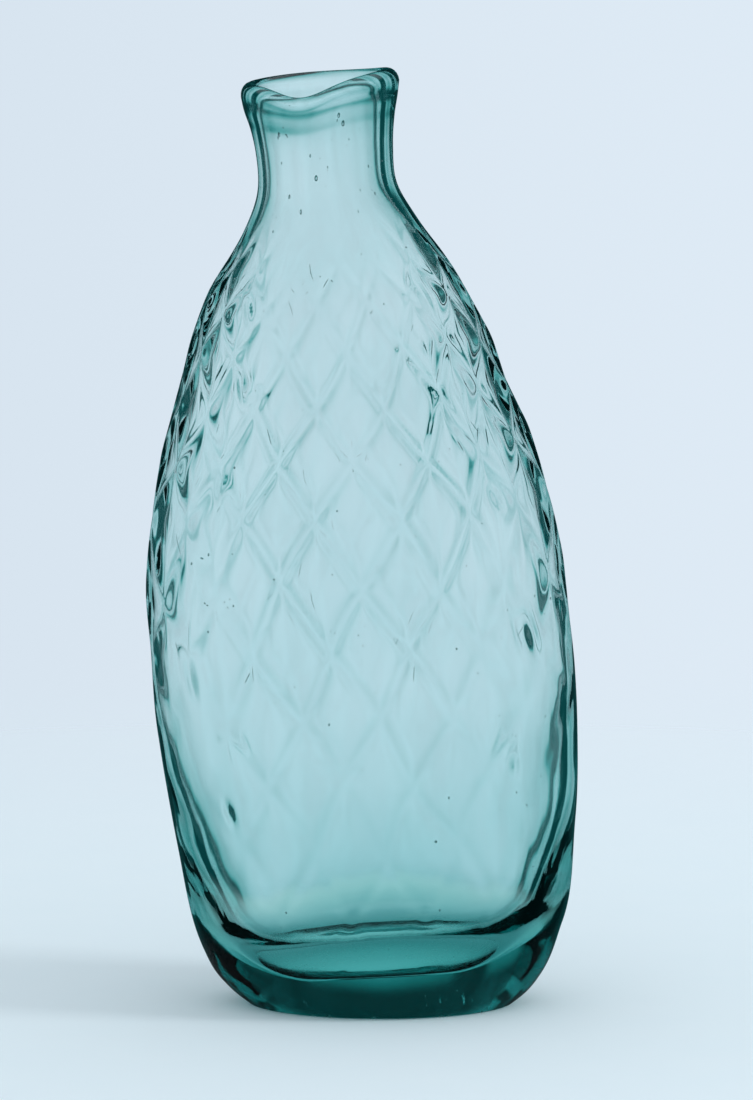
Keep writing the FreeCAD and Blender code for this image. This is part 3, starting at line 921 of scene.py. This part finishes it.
# %% [markdown]
# ## Panels and gaps
# Clear glass shows mostly what is behind it, so it is lit from behind, by bright panels with tall dark gaps
# between them. A ray that goes almost straight through meets a panel and looks pale; a ray bent strongly,
# near an edge or on a ridge, meets a gap and looks dark. That draws the outline and the lattice. A ray that
# was turned back once inside the wall sees panels and gaps change places, which draws the dark slits along
# the sides. Real cards round the table would do the same, but these panels lie in the world itself, cost no
# mesh, and stand all round, so the flask reads the same from every side.

# %% Light of the panels
PANELS = 8
BRIGHT_TO_GAP = (0.66, 0.9)
TURNED_TO_BRIGHT = (0.28, 0.55)
CAVITY_CROSSED = 2.5
ONE_TURN = 1.0
BRIGHTEST_HEIGHT = -0.19
ASIDE_FALL = -0.42
HEIGHT_FALL = -0.7
RIGHT_RISE = 0.05
LOOK_UP = (0.04, 0.32)


def panel_light(tree, way, path):
    """How much of a panel a ray from the glass meets: 0 in a gap, 1 in the middle of a panel."""
    calc = partial(maths, tree)
    beat = calc("MULTIPLY", calc("ARCTAN2", way["X"], way["Y"]), PANELS)
    off = calc("MULTIPLY", calc("ARCTAN2", calc("SINE", beat), calc("COSINE", beat)), 1 / math.pi)
    aside = calc("ABSOLUTE", off)
    crossed = calc("GREATER_THAN", path["Transmission Depth"], CAVITY_CROSSED)
    mirrored = calc("MULTIPLY", calc("GREATER_THAN", path["Glossy Depth"], A_BOUNCE), crossed)
    fall = calc("MULTIPLY", calc("ABSOLUTE", way["Z"]), -1.0)
    height = calc("MULTIPLY_ADD", calc("SUBTRACT", fall, way["Z"]), mirrored, way["Z"])
    turned = calc("COMPARE", path["Glossy Depth"], ONE_TURN, A_BOUNCE)
    turned = calc("MULTIPLY", turned, calc("SUBTRACT", 1.0, crossed))
    straight = calc("MULTIPLY", step(tree, aside, *BRIGHT_TO_GAP, 1.0, 0.0), calc("SUBTRACT", 1.0, turned))
    inside_panel = calc("MULTIPLY_ADD", step(tree, aside, *TURNED_TO_BRIGHT), turned, straight)
    up_down = calc("ABSOLUTE", calc("SUBTRACT", height, BRIGHTEST_HEIGHT))
    slope = calc("MULTIPLY_ADD", aside, ASIDE_FALL, calc("MULTIPLY_ADD", off, RIGHT_RISE, 1.0))
    slope = calc("MULTIPLY_ADD", up_down, HEIGHT_FALL, slope)
    low_enough = step(tree, height, *LOOK_UP, 1.0, 0.0)
    return calc("MULTIPLY", calc("MULTIPLY", inside_panel, slope), low_enough)


print("Panels:", PANELS, "round the table")

# %% [markdown]
# ## The sweep
# The rest of the world is a pale sweep for the camera and an even fill for the table. Overhead it is dim
# teal, with a soft sheen for what the lip and the shoulder mirror; without it the rim would look black from
# above. One light sets every tone that glass sees: it runs from the dark of a gap through teal to the pale
# of a panel.

# %% World of sweep and panels
PANEL = (0.73, 0.835, 0.925)
EDGE = (0.10, 0.40, 0.41)
GAP = (0.004, 0.062, 0.066)
FILL = (0.77, 0.81, 0.835)
SWEEP_LEFT = (0.68, 0.775, 0.865)
SWEEP_RIGHT = (0.735, 0.83, 0.92)
SWEEP_TURN = (-0.05, 0.05)
GAP_TO_EDGE = (0.0, 0.45)
EDGE_TO_PANEL = (0.3, 1.0)
MIRRORED = 0.12
SHEEN = (0.35, 0.7)
OVERHEAD = (0.45, 0.8, 0.0, 0.42)


def sweep():
    """The world: one pale tone for the camera, panels and gaps for glass, and an even fill for the table."""
    world = bpy.data.worlds.new("sweep")
    bpy.context.scene.world = world
    world.use_nodes = True
    tree = world.node_tree
    calc = partial(maths, tree)
    towards = tree.nodes.new("ShaderNodeTexCoord").outputs["Generated"]
    way = node(tree, "ShaderNodeSeparateXYZ", {"Vector": towards}).outputs
    path = tree.nodes.new("ShaderNodeLightPath").outputs
    dimmed = calc("SUBTRACT", 1.0, calc("MULTIPLY", path["Is Reflection Ray"], 1 - MIRRORED))
    sheen = calc("MULTIPLY", step(tree, way["Z"], *SHEEN), path["Is Reflection Ray"])
    overhead = calc("MAXIMUM", step(tree, way["Z"], *OVERHEAD), sheen)
    lit = calc("MAXIMUM", calc("MULTIPLY", panel_light(tree, way, path), dimmed), overhead)
    teal = mixed(tree, step(tree, lit, *GAP_TO_EDGE), GAP, EDGE)
    seen_in_glass = mixed(tree, step(tree, lit, *EDGE_TO_PANEL), teal, PANEL)
    in_glass = calc("MAXIMUM", path["Is Glossy Ray"], path["Is Transmission Ray"])
    in_glass = calc("MULTIPLY", in_glass, calc("LESS_THAN", path["Diffuse Depth"], A_BOUNCE))
    others = mixed(tree, in_glass, FILL, seen_in_glass)
    for_camera = mixed(tree, step(tree, way["X"], *SWEEP_TURN), SWEEP_LEFT, SWEEP_RIGHT)
    seen = mixed(tree, path["Is Camera Ray"], others, for_camera)
    feed(tree, tree.nodes["Background"].inputs["Color"], seen)


sweep()
print("Sweep: pale for the camera,", PANELS, "bright panels for the glass")

# %% [markdown]
# ## The lamp
# One soft lamp stands to the right and a little in front, so that the shadow falls to the left. It is wide,
# which softens the shadow's long sides, and the glass does not mirror it: the panels already give the glass
# all its lights.

# %% Lamp
KEY_PLACE = Vector((1.15, -0.30, 0.80))
KEY_SIZE = (0.32, 0.2)
KEY_POWER = 5.0
MIDDLE = Vector((0.0, 0.0, 0.09))


def aim(piece, place, target):
    """Stand a lamp or camera at a place and point it at a target."""
    piece.location = place
    piece.rotation_euler = (target - place).to_track_quat("-Z", "Y").to_euler()


key = bpy.data.objects.new("key_lamp", bpy.data.lights.new("key_lamp", "AREA"))
key.data.shape = "RECTANGLE"
key.data.size = KEY_SIZE[0]
key.data.size_y = KEY_SIZE[1]
key.data.energy = KEY_POWER
bpy.context.scene.collection.objects.link(key)
key.visible_glossy = False
key.visible_transmission = False
aim(key, KEY_PLACE, MIDDLE)
print("Key lamp:", key.data.energy, "W")

# %% [markdown]
# ## The camera
# The camera looks slightly down on the flask from far away with a long lens, as for a catalogue picture. Its
# lens follows from the size of the picture in pixels and the millimetres that each pixel shows, so the frame
# can be laid over the picture without trial and error.

# %% Camera
PICTURE = (753, 1100)
MM_PER_PIXEL = 0.190
FLOOR_PIXEL = (363.0, 1003.0)
DISTANCE = 2.4
ELEVATION = math.radians(9.3)
SENSOR = 24.0

camera = bpy.data.objects.new("camera", bpy.data.cameras.new("camera"))
bpy.context.scene.collection.objects.link(camera)
bpy.context.scene.camera = camera
view_height = PICTURE[1] * MM_PER_PIXEL * MM
camera.data.sensor_fit = "VERTICAL"
camera.data.sensor_height = SENSOR
camera.data.lens = SENSOR * DISTANCE / view_height
right = (PICTURE[0] / 2 - FLOOR_PIXEL[0]) * MM_PER_PIXEL * MM
up = (FLOOR_PIXEL[1] - PICTURE[1] / 2) * MM_PER_PIXEL * MM
target = Vector((right, 0.0, up / math.cos(ELEVATION)))
aim(camera, target + DISTANCE * Vector((0, -math.cos(ELEVATION), math.sin(ELEVATION))), target)
print("Camera: lens", round(camera.data.lens), "mm at", DISTANCE, "m")

# %% [markdown]
# ## Finish
# The picture is shown with plain colours. Glass needs many bounces, because light crosses four surfaces and
# more on its way. The last lines print the finished model's box, as the first lines printed the imported
# model's.

GLASS_BOUNCES = 32
CLEAR_BOUNCES = 16

scene = bpy.context.scene
scene.view_settings.view_transform = "Standard"
scene.cycles.max_bounces = GLASS_BOUNCES
scene.cycles.transmission_bounces = GLASS_BOUNCES
scene.cycles.transparent_max_bounces = CLEAR_BOUNCES

visual_box = [list(map(float, corner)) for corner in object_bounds()]
print("Visual box in mm:", [[round(value / MM, 1) for value in corner] for corner in visual_box])
